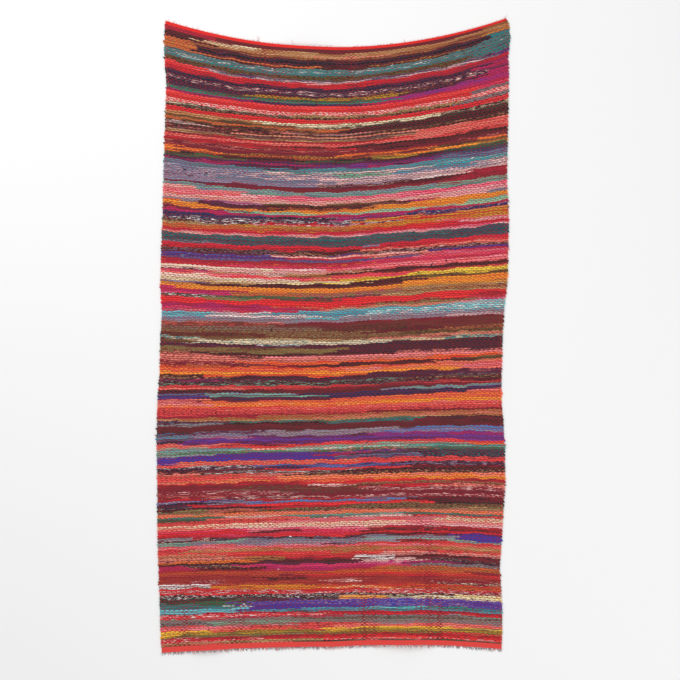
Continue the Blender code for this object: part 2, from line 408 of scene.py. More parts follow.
    (871, "coral salmon lines", 0.3, "coral wine lines", 0.5, "maroon wine lines"),
    (876, "bark black lines", 0.2, "maroon bark lines", 0.8, "seafoam slate lines"),
    (881, "bark ink lines", 0.25, "bark maroon lines", 0.65, "seafoam slate lines", 0.9, "ink navy lines"),
    (886, "navy slate lines", 0.13, "seafoam slate lines", 0.4, "navy ink lines"),
    (890, "indigo navy lines", 0.15, "seafoam ink lines", 0.5, "navy ink lines", 0.9, "salmon coral lines"),
    (894, "indigo slate streaks", 0.15, "ink navy lines", 0.85, "orange coral lines"),
    (899, "crimson salmon lines", 0.15, "maroon ink lines", 0.5, "coral orange lines"),
    (904, "salmon magenta dashes", 0.15, "orange coral lines"),
    (910, "orange pink lines", 0.15, "orange cream few", 0.6, "orange gold lines"),
    (917, "scarlet orange lines", 0.5, "orange coral lines", 0.7, "coral salmon lines"),
    (922, "coral maroon flecks", 0.2, "coral salmon dashes"),
    (930, "coral maroon flecks"),
    (937, "crimson coral lines", 0.15, "wine coral dashes", 0.6, "maroon wine lines"),
    (942, "crimson wine lines", 0.3, "caramel crimson dashes"),
    (947, "tan crimson dashes", 0.1, "caramel rust dashes", 0.5, "caramel salmon lines"),
    (953, "ink slate dashes", 0.06, "caramel tan lines", 0.85, "caramel bark lines"),
    (957, "ink slate flecks", 0.22, "green teal lines", 0.78, "bark ink lines"),
    (961, "grey ink flecks", 0.2, "bark black lines", 0.5, "teal bark lines", 0.75, "maroon bark lines"),
    (966, "bark maroon lines", 0.9, "bark black flecks"),
    (974, "maroon bark lines"),
    (982, "slate ink lines", 0.1, "plum lavender dashes", 0.3, "lavender grey lines", 0.7,
     "blue slate lines"),
    (988, "slate turquoise lines", 0.1, "slate lavender lines", 0.3, "lavender grey lines", 0.65,
     "blue lavender lines"),
    (994, "plum slate lines", 0.1, "magenta lavender lines", 0.25, "purple plum lines", 0.6,
     "purple magenta lines"),
    (1000, "ink plum lines", 0.05, "purple indigo lines", 0.6, "purple plum flecks"),
    (1006, "coral salmon lines", 0.05, "ink purple lines", 0.4, "purple ink lines", 0.8,
     "purple indigo flecks"),
    (1011, "coral salmon lines", 0.2, "coral maroon lines", 0.4, "coral scarlet lines"),
    (1017, "salmon seafoam lines", 0.15, "coral scarlet lines", 0.4, "seafoam coral lines", 0.9,
     "coral orange lines"),
    (1022, "seafoam slate lines", 0.25, "orange blush lines", 0.35, "seafoam blush streaks", 0.7,
     "seafoam teal lines"),
    (1029, "seafoam green lines", 0.25, "green seafoam lines", 0.45, "green salmon dashes", 0.8,
     "teal green lines"),
    (1035, "seafoam lavender lines", 0.15, "indigo royal lines", 0.5, "indigo salmon dashes", 0.7,
     "deep_teal ink lines"),
    (1041, "indigo lavender dashes", 0.1, "royal indigo lines", 0.5, "crimson indigo dashes", 0.6,
     "ink deep_teal lines"),
    (1048, "royal indigo flecks", 0.2, "royal indigo lines", 0.5, "navy slate lines", 0.75,
     "ink teal flecks"),
    (1056, "indigo salmon dashes", 0.08, "coral tan dashes", 0.6, "coral black dashes"),
    (1062, "coral salmon lines", 0.1, "coral tan flecks", 0.5, "scarlet coral lines"),
    (1067, "ink white dashes", 0.3, "blue navy lines", 0.7, "ink lavender dashes"),
    (1072, "ink black lines", 0.1, "ink white dashes", 0.25, "navy ink lines", 0.4, "navy blue lines", 0.7,
     "ink lavender dashes"),
    (1077, "black salmon dashes", 0.1, "maroon ink lines", 0.3, "red coral lines", 0.7,
     "black crimson dashes"),
    (1082, "salmon black dashes", 0.15, "bark white streaks", 0.55, "black brown flecks"),
    (1088, "coral olive flecks", 0.3, "salmon black flecks", 0.42, "black tan flecks"),
    (1095, "coral bark few", 0.35, "orange salmon lines"),
    (1102, "orange salmon lines", 0.3, "coral orange lines", 0.6, "orange gold lines"),
    (1109, "maroon red lines", 0.2, "wine red lines", 0.4, "scarlet red lines", 0.85, "maroon red lines"),
    (1116, "wine maroon lines", 0.2, "wine bottle dashes", 0.45, "blush wine dashes", 0.55,
     "wine khaki mottled"),
    (1123, "maroon wine lines", 0.2, "maroon olive dashes", 0.6, "wine red lines", 0.8,
     "salmon maroon dashes"),
    (1130, "wine blush streaks", 0.3, "bottle wine mottled", 0.5, "maroon brown lines", 0.6,
     "wine blush dashes"),
    (1138, "wine salmon streaks", 0.25, "wine blush streaks", 0.4, "maroon wine lines"),
    (1146, "maroon red lines", 0.15, "maroon blush streaks", 0.45, "wine blush dashes"),
    (1154, "blue lavender lines", 0.12, "indigo slate lines", 0.25, "red maroon lines", 0.6,
     "slate wine lines", 0.75, "wine black lines"),
    (1159, "ink black lines", 0.12, "ink lavender lines", 0.25, "slate blue lines", 0.7,
     "maroon black lines"),
    (1164, "ink plum lines", 0.1, "red ink dashes", 0.25, "scarlet red lines", 0.8, "bark black lines"),
    (1169, "black cream few", 0.1, "black bark lines", 0.3, "red wine lines", 0.5, "bark khaki mottled"),
    (1175, "khaki black flecks", 0.15, "brown salmon mottled", 0.3, "khaki black mottled", 0.9,
     "olive tan mottled"),
    (1181, "salmon khaki lines", 0.15, "orange brown lines", 0.3, "salmon maroon dashes", 0.7,
     "salmon khaki lines"),
    (1187, "orange salmon lines"),
    (1194, "green teal lines", 0.18, "blush tan lines", 0.35, "teal seafoam lines", 0.7,
     "green teal lines"),
    (1200, "green bottle lines", 0.1, "coral salmon lines", 0.4, "green teal lines", 0.5,
     "blush green dashes", 0.7, "coral black dashes"),
    (1205, "coral black flecks", 0.35, "coral pink lines", 0.8, "salmon cream mottled"),
    (1211, "coral black few", 0.3, "coral pink lines", 0.8, "salmon cream mottled"),
    (1217, "salmon cream mottled", 0.7, "salmon pink lines"),
    (1223, "coral salmon lines", 0.2, "pink cream mottled", 0.7, "blush pink lines"),
    (1229, "red hot_pink lines", 0.25, "pink hot_pink lines", 0.6, "maroon red lines"),
    (1234, "scarlet red lines", 0.25, "bark wine lines", 0.4, "hot_pink red lines", 0.57,
     "bark red dashes"),
    (1240, "bark red lines", 0.1, "red hot_pink lines", 0.55, "red scarlet lines"),
    (1246, "grey lavender dashes", 0.1, "red wine lines", 0.3, "scarlet red lines", 0.55,
     "black wine lines", 0.85, "indigo ink lines"),
    (1251, "black blush dashes", 0.15, "black slate dashes", 0.6, "slate grey lines", 0.87,
     "royal indigo lines"),
    (1256, "seafoam grey lines", 0.25, "grey slate lines", 0.6, "lavender seafoam lines", 0.87,
     "royal indigo lines"),
    (1262, "teal seafoam lines", 0.1, "slate grey lines", 0.3, "grey lavender lines", 0.7,
     "black coral lines", 0.85, "seafoam grey lines"),
    (1267, "coral pink lines", 0.25, "lavender pink lines", 0.5, "plum lavender lines", 0.6,
     "coral red lines"),
    (1272, "coral pink lines", 0.8, "coral salmon lines"),
    (1279, "rust red lines", 0.1, "tan coral lines", 0.3, "caramel red dashes", 0.85, "caramel tan lines"),
    (1286, "coral wine dashes", 0.1, "tan caramel lines", 0.3, "caramel salmon dashes", 0.85,
     "caramel coral dashes"),
    (1292, "coral maroon few", 0.2, "red coral lines", 0.5, "caramel red dashes", 0.65,
     "coral black dashes"),
    (1298, "tan coral mottled", 0.2, "scarlet coral lines", 0.65, "salmon blush dashes"),
    (1304, "salmon black flecks", 0.28, "caramel black dashes", 0.4, "maroon red lines", 0.6,
     "white maroon lines", 0.72, "wine black lines"),
    (1310, "orange black flecks", 0.3, "bark black lines", 0.6, "blush maroon dashes", 0.8,
     "black grey flecks"),
    (1316, "black bark lines", 0.3, "plum bark lines", 0.6, "magenta blush dashes", 0.75,
     "magenta plum lines", 0.9, "ink black flecks"),
    (1321, "magenta crimson lines", 0.1, "ink tan flecks", 0.25, "magenta hot_pink lines", 0.75,
     "grey black flecks"),
    (1328, "magenta crimson lines", 0.08, "black rust flecks", 0.28, "magenta crimson lines", 0.6,
     "burnt olive dashes"),
    (1334, "rust crimson lines", 0.3, "magenta rust dashes", 0.5, "rust burnt dots", 0.65,
     "caramel rust flecks"),
    (1340, "rust burnt dots", 0.5, "burnt rust flecks", 0.9, "rust wine lines"),
    (1347, "rust wine lines", 0.3, "rust burnt few", 0.38, "wine bark dashes", 0.42, "rust red lines"),
    (1355, "wine rust lines", 0.3, "black rust dashes", 0.42, "wine rust lines"),
    (1363, "wine rust lines", 0.1, "wine blush streaks", 0.2, "wine rust lines", 0.5, "blush rust lines",
     0.6, "rust wine lines", 0.8, "wine cream few"),
    (1370, "rust white lines", 0.18, "wine burnt dots", 0.4, "rust wine lines", 0.85,
     "maroon cream dashes"),
    (1375, "bark white lines", 0.19, "burnt gold lines", 0.5, "burnt red lines"),
    (1381, "scarlet red lines", 0.2, "burnt mustard dashes", 0.5, "orange cream dashes", 0.7,
     "burnt black dashes"),
    (1387, "red white dashes", 0.4, "red scarlet lines", 0.6, "red blush dashes"),
    (1393, "scarlet white few", 0.3, "red white dashes", 0.8, "wine white dashes"),
    (1398, "black white flecks", 0.6, "black cream dashes", 0.9, "yellow cream lines"),
    (1404, "bottle black mottled", 0.25, "black grey flecks", 0.55, "gold indigo dashes", 0.7,
     "cream ink dashes"),
    (1409, "bottle bark lines", 0.1, "bottle green lines", 0.26, "ink plum lines", 0.4,
     "royal lavender flecks"),
    (1416, "teal deep_teal lines", 0.1, "green bottle lines", 0.25, "royal lavender flecks", 0.9,
     "royal indigo lines"),
    (1423, "deep_teal teal lines", 0.2, "white teal lines", 0.24, "royal indigo lines", 0.6,
     "royal lavender dashes"),
    (1430, "turquoise aqua lines", 0.25, "indigo royal lines", 0.4, "turquoise indigo dashes", 0.6,
     "aqua teal lines", 0.77, "teal ink flecks"),
    (1436, "turquoise aqua lines", 0.25, "turquoise ink dashes", 0.4, "deep_teal turquoise lines", 0.77,
     "turquoise ink flecks"),
    (1441, "turquoise teal lines", 0.1, "red ink dashes", 0.4, "red wine lines", 0.75,
     "crimson wine lines"),
    (1447, "red white dashes", 0.3, "red blush dashes", 0.5, "red black dashes"),
    (1453, "red seafoam dashes", 0.15, "crimson grey dashes", 0.5, "grey black flecks", 0.9,
     "seafoam grey lines"),
    (1459, "taupe grey lines", 0.4, "taupe bottle mottled"),
    (1466, "grey bottle mottled", 0.15, "taupe seafoam lines", 0.4, "grey taupe mottled"),
    (1473, "coral grey flecks", 0.15, "taupe pink dashes", 0.4, "coral black dashes", 0.6,
     "grey coral dashes"),
    (1479, "coral pink lines", 0.25, "coral black dashes", 0.5, "coral salmon lines"),
    (1486, "yellow gold lines", 0.13, "coral mustard dashes", 0.4, "coral black few", 0.46,
     "yellow gold lines", 0.9, "yellow khaki lines"),
    (1491, "yellow gold lines", 0.05, "olive mustard lines", 0.46, "mustard olive lines"),
    (1497, "olive khaki lines", 0.3, "khaki olive lines", 0.4, "olive red dashes", 0.8, "red khaki dashes"),
    (1502, "red blush dashes", 0.1, "wine red lines", 0.4, "red black dashes"),
    (1508, "red blush dashes", 0.3, "scarlet wine dashes"),
    (1513, "khaki salmon mottled", 0.2, "tan olive dashes", 0.5, "scarlet blush dashes"),
    (1518, "olive coral lines", 0.2, "salmon olive lines", 0.4, "bark green lines"),
)


def linear(dye):
    """A dye's colour as shaders take it."""
    levels = np.array(DYES[dye]) / 255
    return np.where(levels <= 0.04045, levels / 12.92, ((levels + 0.055) / 1.055) ** 2.4)


# ---------------------------------------------------------------- how the cloth lies


def read_lay(column, down):
    downs = [row.down for row in LAY]
    return np.interp(down / MM, downs, [getattr(row, column) for row in LAY]) * MM


def fold_height(x, y):
    """How far the folds lift the cloth off the floor at each place."""
    height = np.zeros_like(x)
    for fold in FOLDS:
        run_x, run_y = (fold.head_x - fold.foot_x) * MM, (fold.head_y - fold.foot_y) * MM
        off_x, off_y = x - fold.foot_x * MM, y - fold.foot_y * MM
        length = math.hypot(run_x, run_y)
        along = np.clip((off_x * run_x + off_y * run_y) / length**2, 0, 1)
        aside = np.clip(np.abs(off_x * run_y - off_y * run_x) / length / (fold.half_width * MM), 0, 1)
        height += fold.rise * MM * np.cos(0.5 * np.pi * along) ** 2 * np.cos(0.5 * np.pi * aside) ** 2
    return height


def lay(across, down, height):
    """Places in the row frame for points of the weave: across is the share of the width, down the distance
    along the rug and height the distance over its underside. All three are arrays."""
    left, right = read_lay("left", down), read_lay("right", down)
    x = END_MIDDLE_X + left + across * (right - left)
    from_middle = 2 * across - 1
    lift = np.where(
        from_middle < 0,
        read_lay("left_lift", down) * from_middle**2,
        read_lay("right_lift", down) * from_middle**2
        + read_lay("crest", down) * np.sin(np.pi * np.clip(from_middle, 0, 1)),
    )
    y = END_MIDDLE_Y - down + lift
    return np.stack([x, y, fold_height(x, y) + height], axis=1)


def waves(across, row, seed, periods):
    """Smooth wander between -1 and 1: sine waves along the width, with phases of their own in each row."""
    draw = np.random.default_rng(seed)
    total = np.zeros_like(across)
    for period in periods:
        phase = draw.uniform(0, 2 * np.pi, PICKS + 1)
        total += np.sin(2 * np.pi * across * FLAT_WIDTH / period + phase[row])
    return total / len(periods)


PICK_PITCH = (HEADING_FOOT_START - HEADING_TOP_DEEP) / PICKS
DRIFT_SPAN = 15  # picks over which thick and thin rags even out


def weave_lines():
    """How far down the rug the lines between the picks run: a row for each line, a column for each warp."""
    row, column = np.mgrid[0:PICKS, 0 : WARPS + 1]
    across = column / WARPS
    own = np.random.default_rng(3).normal(0, PICK_UNEVEN, PICKS)[:, None]
    swell = SWELL_LONG * waves(across, row, 11, (0.11, 0.23, 0.47))
    swell = swell + SWELL_SHORT * waves(across, row, 12, (0.045, 0.07))
    width = np.exp(own + swell)
    line = np.vstack([np.zeros((1, WARPS + 1)), np.cumsum(width, axis=0)])
    line *= PICKS / line[-1]
    drift = line - np.arange(PICKS + 1)[:, None]
    padded = np.pad(drift, ((DRIFT_SPAN, DRIFT_SPAN), (0, 0)), mode="edge")
    window = np.ones(2 * DRIFT_SPAN + 1) / (2 * DRIFT_SPAN + 1)
    slow = np.apply_along_axis(np.convolve, 0, padded, window, mode="valid")
    number = np.arange(PICKS + 1)[:, None]
    free = np.clip(np.minimum(number, PICKS - number) / EVEN_PICKS, 0, 1)
    return HEADING_TOP_DEEP + PICK_PITCH * (number + free * (drift - slow))


LINES = weave_lines()


# ---------------------------------------------------------------- strands


def straight_strand(sides, steps, count):
    """A closed rod of radius 1 from 0 to 1 along Z, with a ring of vertices at every step. Its map is the
    first of count rows, one for each copy."""
    rod = bmesh.new()
    bmesh.ops.create_cone(rod, cap_ends=True, segments=sides, radius1=1, radius2=1, depth=1)
    bmesh.ops.translate(rod, verts=rod.verts, vec=(0, 0, 0.5))
    long_edges = [e for e in rod.edges if abs(e.verts[0].co.z - e.verts[1].co.z) > 0.5]
    bmesh.ops.subdivide_edges(rod, edges=long_edges, cuts=steps - 1, use_grid_fill=True)
    rows = rod.loops.layers.uv.new("OFBake")
    for face in rod.faces:
        face.smooth = len(face.verts) == 4
        middle = face.calc_center_median()
        turn = math.atan2(middle.y, middle.x) / math.tau % 1
        for loop in face.loops:
            own = math.atan2(loop.vert.co.y, loop.vert.co.x) / math.tau % 1
            own += round(turn - own)
            loop[rows].uv = (0.001 + 0.998 * loop.vert.co.z, (0.04 + 0.92 * min(max(own, 0), 1)) / count)
    mesh = bpy.data.meshes.new("strand")
    rod.to_mesh(mesh)
    rod.free()
    return mesh


def arrayed(name, strand, count):
    """count copies of a strand as one piece, with each vertex's copy number and its place on the rod."""
    piece = bpy.data.objects.new(name, strand)
    bpy.context.scene.collection.objects.link(piece)
    rows = piece.modifiers.new("rows", "ARRAY")
    rows.count = count
    rows.use_relative_offset = False
    rows.use_constant_offset = True
    rows.constant_offset_displace = (3, 0, 0)
    rows.offset_v = 1 / count
    joined = bpy.data.meshes.new_from_object(piece.evaluated_get(bpy.context.evaluated_depsgraph_get()))
    piece.modifiers.clear()
    piece.data = joined
    joined.name = name
    rod = np.empty(len(strand.vertices) * 3)
    strand.vertices.foreach_get("co", rod)
    rod = np.tile(rod.reshape(-1, 3), (count, 1))
    copy = np.repeat(np.arange(count), len(strand.vertices))
    return piece, copy, rod


def place(piece, places):
    piece.data.vertices.foreach_set("co", places.astype(np.float32).ravel())
    piece.data.update()


def write_colours(mesh, name, colours):
    made = mesh.attributes.new(name, "FLOAT_COLOR", "POINT")
    made.data.foreach_set("color", colours.astype(np.float32).ravel())


def write_vectors(mesh, name, vectors):
    made = mesh.attributes.new(name, "FLOAT_VECTOR", "POINT")
    made.data.foreach_set("vector", vectors.astype(np.float32).ravel())


# ---------------------------------------------------------------- which rag lies where


def rag_table():
    """Each rag's row, with the ground dyes, print dyes, print shares and mark lengths as arrays."""
    names = sorted({word for _, *run in STRIPES for word in run if isinstance(word, str)})
    words = [name.split() for name in names]
    grounds = np.array([linear(ground) for ground, _, _ in words])
    prints = np.array([linear(print_dye) for _, print_dye, _ in words])
    shares = np.array([PRINTS[kind].share for _, _, kind in words])
    dashes = np.array([PRINTS[kind].dash * MM for _, _, kind in words])
    return {name: row for row, name in enumerate(names)}, grounds, prints, shares, dashes


RAG_ROWS, RAG_GROUNDS, RAG_PRINTS, RAG_SHARES, RAG_DASHES = rag_table()


def rags_at(pick, across, down):
    """The row in the rag table of the rag at each point of the wefts."""
    starts = np.array([stripe[0] for stripe in STRIPES]) * MM
    wander = STRIPE_WANDER * PICK_PITCH * waves(across, pick, 21, (0.14, 0.3))
    stripe = np.clip(np.searchsorted(starts, down + wander, side="right") - 1, 0, len(STRIPES) - 1)
    shift = np.random.default_rng(22).normal(0, JOIN_SCATTER, PICKS + 1)[pick]
    found = np.zeros(len(pick), int)
    for number, (_, first, *changes) in enumerate(STRIPES):
        inside = stripe == number
        chosen = np.full(inside.sum(), RAG_ROWS[first])
        for share, name in zip(changes[::2], changes[1::2]):
            chosen[across[inside] + shift[inside] > share] = RAG_ROWS[name]
        found[inside] = chosen
    return found


def write_rag(mesh, grounds, prints, shares, along, fold, dashes):
    """Writes what the rag material reads: both dyes, the print's share and the place on the rag."""
    count = len(fold)
    shares = np.broadcast_to(shares, count)
    write_colours(mesh, "ground", np.hstack([grounds, np.ones((count, 1))]))
    write_colours(mesh, "print", np.hstack([prints, shares[:, None]]))
    write_vectors(mesh, "along", np.stack([along, fold, 0 * fold], axis=1))
    write_vectors(mesh, "dash", np.stack([along / dashes, fold, 0 * fold], axis=1))


def colour_wefts(mesh, pick, across, down, aside):
    """Writes each weft's dyes. aside is how far each point lies from its strand's middle line."""
    rag = rags_at(pick, across, down + SIDE_SHARE * aside)
    tint = np.random.default_rng(31).normal(1, DYE_UNEVEN, PICKS + 1)[pick][:, None]
    fold = pick * FOLD_STEP + aside / RAG_FOLD
    along = across * FLAT_WIDTH
    grounds, prints = RAG_GROUNDS[rag] * tint, RAG_PRINTS[rag] * tint
    write_rag(mesh, grounds, prints, RAG_SHARES[rag], along, fold, RAG_DASHES[rag])


# ---------------------------------------------------------------- pieces of the weave


def make_wefts(number, material):
    """One run of rag picks, each bent over and under the warps."""
    first = number * PICKS // WEFT_PIECES
    count = (number + 1) * PICKS // WEFT_PIECES - first
    strand = straight_strand(WEFT_SIDES, WARPS, count)
    piece, copy, rod = arrayed(f"rag_wefts_{number + 1}", strand, count)
    pick = first + copy
    warp = np.rint(rod[:, 2] * WARPS).astype(int)
    upper, lower = LINES[pick, warp], LINES[pick + 1, warp]
    draw = np.random.default_rng(41)
    past_left, past_right = draw.uniform(0, WEFT_END_REACH, (2, PICKS + 1)) / FLAT_WIDTH
    across = rod[:, 2] * (1 + past_left[pick] + past_right[pick]) - past_left[pick]
    over = np.cos(np.pi * (warp + pick))
    pinch = 1 - WEFT_PINCH * (0.5 - 0.5 * over)
    fullness = WEFT_LEAST_FULL + WEFT_WIDTH_FULL * (lower - upper) / PICK_PITCH
    lumps = 1 + WEFT_LUMPS * waves(across, pick, 42, (0.021, 0.05, 0.13))
    thick = WEFT_HALF_THICK * pinch * fullness * lumps
    angle = np.arctan2(rod[:, 1], rod[:, 0])
    aside = -0.5 * WEFT_SPREAD * pinch * (lower - upper) * np.cos(angle)
    middle = 0.5 * (upper + lower)
    height = WEAVE_MIDDLE + WEFT_WAVE * over + thick * np.sin(angle)
    place(piece, lay(across, middle + aside, height))
    nominal = HEADING_TOP_DEEP + PICK_PITCH * (pick + 0.5)
    colour_wefts(piece.data, pick, across, nominal, aside)
    piece.data.materials.append(material)
    return piece


def make_warps(name, places, radius, rise, material):
    """Warps at the given shares of the width, each passing over and under the rag picks."""
    strand = straight_strand(WARP_SIDES, PICKS - 1, len(places))
    piece, copy, rod = arrayed(name, strand, len(places))
    across = np.array(places)[copy]
    column = np.clip(np.rint(across * WARPS), 0, WARPS).astype(int)
    pick = np.rint(rod[:, 2] * (PICKS - 1)).astype(int)
    middle = 0.5 * (LINES[pick, column] + LINES[pick + 1, column])
    uneven = np.random.default_rng(51).normal(1, WARP_UNEVEN, (PICKS, WARPS + 1))[pick, column]
    over = np.cos(np.pi * (column + pick))
    height = WEAVE_MIDDLE - rise * uneven * over + radius * rod[:, 1]
    place(piece, lay(across + radius * rod[:, 0] / FLAT_WIDTH, middle, height))
    write_vectors(piece.data, "along", np.stack([middle, across * WARPS, 0 * middle], axis=1))
    piece.data.materials.append(material)
    return piece


def make_turns(material):
    """The turns of the rags round the outermost warps, left and right in turn."""
    ring = bmesh.new()
    start = Matrix.Translation((0, -1, 0)) @ Matrix.Rotation(math.pi / 2, 4, "Y")
    bmesh.ops.create_circle(ring, cap_ends=True, segments=TURN_SIDES, radius=TURN_TUBE, matrix=start)
    section = [*ring.verts, *ring.edges, *ring.faces]
    bmesh.ops.spin(ring, geom=section, axis=(0, 0, 1), angle=math.pi, steps=TURN_STEPS)
    bmesh.ops.recalc_face_normals(ring, faces=ring.faces)
    for face in ring.faces:
        face.smooth = True
    mesh = bpy.data.meshes.new("turn")
    ring.to_mesh(mesh)
    ring.free()
    piece, pick, at = arrayed("selvedge_turns", mesh, PICKS - 1)
    side = np.where(pick % 2 == 0, 1, -1)
    column = np.where(side > 0, WARPS, 0)
    half = 0.25 * (LINES[pick + 2, column] - LINES[pick, column])
    reach = TURN_REACH * np.clip(np.random.default_rng(61).normal(1, TURN_UNEVEN, PICKS), 0.5, 2)[pick]
    down = LINES[pick + 1, column] - side * at[:, 1] * half
    across = 0.5 + side * (0.5 + (at[:, 0] * reach - TURN_TUCK) / FLAT_WIDTH)
    height = WEAVE_MIDDLE + at[:, 2] * WEFT_HALF_THICK / TURN_TUBE
    place(piece, lay(across, down, height))
    nominal = HEADING_TOP_DEEP + PICK_PITCH * (pick + 0.5)
    colour_wefts(piece.data, pick, np.clip(across, 0, 1), nominal, at[:, 1] * half)
    piece.data.materials.append(material)
    return piece


def make_ground(material):
    """The thin layer of warp cotton that shows between the rags; its dark colour is partly painted shade for
    the gaps between them.
    """
    grid = bmesh.new()
    bmesh.ops.create_grid(grid, x_segments=GROUND_COLUMNS, y_segments=GROUND_ROWS, size=0.5)
    mesh = bpy.data.meshes.new("warp_cloth_and_gap_shade")
    grid.to_mesh(mesh)
    grid.free()
    piece = bpy.data.objects.new("warp_cloth_and_gap_shade", mesh)
    bpy.context.scene.collection.objects.link(piece)
    flat = np.empty(len(mesh.vertices) * 3)
    mesh.vertices.foreach_get("co", flat)
    flat = flat.reshape(-1, 3)
    across = 0.5 + flat[:, 0] * GROUND_SHARE
    down = HEADING_TOP_DEEP + (0.5 - flat[:, 1]) * (HEADING_FOOT_START - HEADING_TOP_DEEP)
    place(piece, lay(across, down, np.full(len(flat), WEAVE_MIDDLE - GROUND_THICK / 2)))
    for face in mesh.polygons:
        face.use_smooth = True
    thickness = piece.modifiers.new("thickness", "SOLIDIFY")
    thickness.thickness = GROUND_THICK
    thickness.offset = 1
    mesh.materials.append(material)
    return piece


def make_heading(name, start, deep, material):
    """A band of plain yarn picks packed side by side."""
    count = round(deep / HEADING_YARN)
    pitch = deep / count
    strand = straight_strand(HEADING_SIDES, WARPS, count)
    piece, copy, rod = arrayed(name, strand, count)
    angle = np.arctan2(rod[:, 1], rod[:, 0])
    over = np.cos(np.pi * (np.rint(rod[:, 2] * WARPS) + copy))
    down = start + pitch * (copy + 0.5 - HEADING_SPREAD * np.cos(angle))
    height = HEADING_MIDDLE + HEADING_WAVE * over + HEADING_HALF_THICK * np.sin(angle)
    place(piece, lay(rod[:, 2], down, height))
    write_vectors(piece.data, "along", np.stack([rod[:, 2] * FLAT_WIDTH, copy + 0.0, angle], axis=1))
    piece.data.materials.append(material)
    return piece


# ---------------------------------------------------------------- cut ends, frays and tufts


def make_threads(name, threads, way, thick, dyes, material):
    """Cut thread ends past one end of the rug. Each has its place across, where it starts, its length, how
    far it leans sideways for each millimetre that it runs outwards, and how it curls."""
    strand = straight_strand(THREAD_SIDES, THREAD_STEPS, len(threads))
    piece, copy, rod = arrayed(name, strand, len(threads))
    across, start, length, lean, curl = np.array(threads)[copy].T
    draw = np.random.default_rng(71)
    tone = draw.normal(1, THREAD_TONE, len(threads))[copy][:, None]
    dye = draw.integers(0, len(dyes), len(threads))[copy]
    run = rod[:, 2]
    steep = np.hypot(1, lean)
    out = length * run / steep
    aside = length * (lean * run + curl * run**2) / steep
    round_size = thick * (1 - THREAD_TAPER * run)
    height = THREAD_HEIGHT - THREAD_DROP * run + round_size * rod[:, 1]
    x_round, y_round = round_size * rod[:, 0] / steep, round_size * rod[:, 0] * lean / steep
    down = start + way * (out - y_round)
    place(piece, lay(across + (aside + way * x_round) / FLAT_WIDTH, down, height))
    colours = np.array([linear(name) for name in dyes])[dye] * tone
    fold = copy * END_PRINT_STEP
    write_rag(piece.data, colours, colours * 0.55, END_PRINT_SHARE, length * run, fold, 4 * MM)
    piece.data.materials.append(material)
    return piece


def fringe_threads(bundles, each, start, shortest, longest, seed):
    """Threads in small bundles, one bundle for each warp."""
    draw = np.random.default_rng(seed)
    threads = []
    for bundle in range(bundles):
        shared = draw.normal(0, BUNDLE_LEAN)
        full = draw.uniform(BUNDLE_SHORTEST, 1)
        for _ in range(each):
            across = (bundle + 0.5 + draw.normal(0, BUNDLE_SCATTER)) / bundles
            length = (shortest + (longest - shortest) * draw.random()) * full
            lean = shared + draw.normal(0, THREAD_LEAN)
            curl = draw.normal(0, THREAD_CURL)
            threads.append((min(max(across, 0.001), 0.999), start, length, lean, curl))
    return threads


# The long frays past the sagging end, lengths in mm.
FrayRow = namedtuple("FrayRow", "across length lean curl")
FRAYS = (
    FrayRow(0.004, 12, -0.9, -0.4),
    FrayRow(0.010, 9, -0.4, 0.5),
    FrayRow(0.022, 12, 0.2, 0.6),
    FrayRow(0.095, 8, 0.3, -0.5),
    FrayRow(0.15, 9, 0.5, 0.6),
    FrayRow(0.185, 6, -0.9, 0.3),
    FrayRow(0.25, 7, 1.2, 0.6),
    FrayRow(0.270, 16, 0.1, -0.2),
    FrayRow(0.273, 14, 0.0, 0.2),
    FrayRow(0.345, 8, -1.2, 0.5),
    FrayRow(0.360, 10, 1.4, -0.7),
    FrayRow(0.371, 15, 0.3, -0.3),
    FrayRow(0.376, 9, -0.6, 0.8),
    FrayRow(0.398, 13, 1.8, -0.4),
    FrayRow(0.415, 12, 1.5, 0.8),
    FrayRow(0.436, 9, 0.4, 0.4),
    FrayRow(0.452, 10, 1.1, -0.6),
    FrayRow(0.470, 16, 3.0, 0.6),
    FrayRow(0.548, 14, 4.0, 0.8),
    FrayRow(0.585, 12, -4.0, 0.5),
    FrayRow(0.62, 16, 5.0, -0.6),
    FrayRow(0.655, 9, 2.4, 0.4),
    FrayRow(0.700, 10, 0.3, -0.5),
    FrayRow(0.704, 7, -0.7, 0.6),
    FrayRow(0.79, 6, 1.6, 0.5),
    FrayRow(0.90, 5, 0.8, 0.5),
    FrayRow(0.988, 8, 0.6, 0.7),
    FrayRow(0.996, 9, 0.1, 0.6),
)

